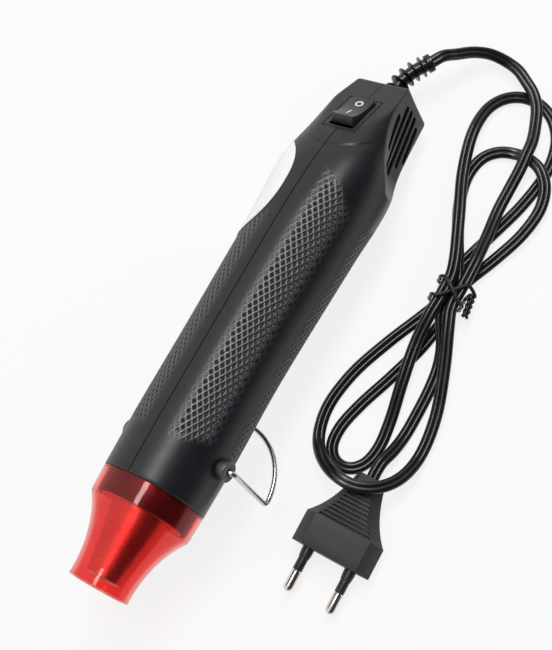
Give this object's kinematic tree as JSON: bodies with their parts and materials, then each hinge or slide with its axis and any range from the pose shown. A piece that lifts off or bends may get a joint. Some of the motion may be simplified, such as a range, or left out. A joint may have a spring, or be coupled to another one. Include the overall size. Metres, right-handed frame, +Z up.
{
  "type": "hot air tool",
  "caption": "Slim round hand tool that blows hot air from a red see-through nozzle, with a rocker switch, side vents, a folding wire stand and a tied flat mains lead.",
  "frame": {"origin": "on the table, under the middle of the tool's box without the lead and plug", "axes": "+Z up from the table, +Y from the nozzle towards the lead's exit, +X to the side where the lead lies"},
  "size_m": [0.1106, 0.2755, 0.0648],
  "materials": {
    "housing_black": "satin, knurled grip",
    "gloss_black": "smooth",
    "red_clear": "see-through",
    "bare_steel": "bright sheet",
    "stand_steel": "bright drawn wire",
    "nickel": "nickel plated",
    "brass": "plain",
    "coil_wire": "oxidised wire",
    "magnet": "sintered",
    "mica": "flaky sheet",
    "ceramic": "unglazed",
    "white_plastic": "moulded",
    "board_green": "lacquered board",
    "label_white": "blank film",
    "lead_red": "sleeved wire",
    "lead_blue": "sleeved wire",
    "cord_black": "soft satin",
    "tie_black": "coated wire",
    "plug_black": "moulded"
  },
  "bodies": {
    "tool": {"housing_right": "housing_black", "housing_left": "housing_black", "nozzle_shroud": "red_clear", "heat_tube": "bare_steel", "mica_liner": "mica", "mica_plate_cross": "mica", "mica_plate_upright": "mica", "heater_coil": "coil_wire", "heater_holder": "ceramic", "thermal_cutout": "white_plastic", "heater_lead_right": "lead_red", "heater_lead_left": "lead_red", "motor_can": "bare_steel", "motor_magnet_lower": "magnet", "motor_magnet_upper": "magnet", "motor_end_cap": "white_plastic", "motor_terminal_right": "brass", "motor_terminal_left": "brass", "motor_mount": "housing_black", "rectifier_board": "board_green", "rectifier_diode_1": "gloss_black", "rectifier_diode_2": "gloss_black", "rectifier_diode_3": "gloss_black", "rectifier_diode_4": "gloss_black", "switch_body": "housing_black", "switch_terminal_front": "brass", "switch_terminal_rear": "brass", "live_lead": "lead_red", "switched_lead": "lead_red", "neutral_lead": "lead_blue", "cord_tail": "cord_black", "cord_clamp": "housing_black", "cord_clamp_screw_upper": "nickel", "cord_clamp_screw_lower": "nickel", "strain_relief": "cord_black", "housing_screw_1": "nickel", "housing_screw_2": "nickel", "housing_screw_3": "nickel", "housing_screw_4": "nickel", "rating_label": "label_white", "power_cord": "cord_black", "twist_tie": "tie_black", "plug_body": "plug_black", "plug_pin_right": "nickel", "plug_pin_left": "nickel", "pin_sleeve_right": "gloss_black", "pin_sleeve_left": "gloss_black"},
    "stand": {"wire_stand": "stand_steel"},
    "rocker": {"rocker_button": "gloss_black"},
    "rotor": {"motor_shaft": "bare_steel", "fan_impeller": "white_plastic", "motor_rotor": "coil_wire"}
  },
  "joints": [
    {"name": "stand_swing", "type": "hinge", "parent": "tool", "child": "stand", "pos_m": [-0.00755, -0.06784, 0.04157], "axis": [0.8873, 0.0456, 0.4589], "range_deg": [-90, 14]},
    {"name": "rocker_tilt", "type": "hinge", "parent": "tool", "child": "rocker", "pos_m": [-0.01169, 0.08147, 0.03473], "axis": [0.8873, 0.0456, 0.4589], "range_deg": [0, 18]},
    {"name": "rotor_spin", "type": "hinge", "parent": "tool", "child": "rotor", "pos_m": [-0.00755, -0.08575, 0.04335], "axis": [0, 0.9951, -0.099], "continuous": true}
  ]
}
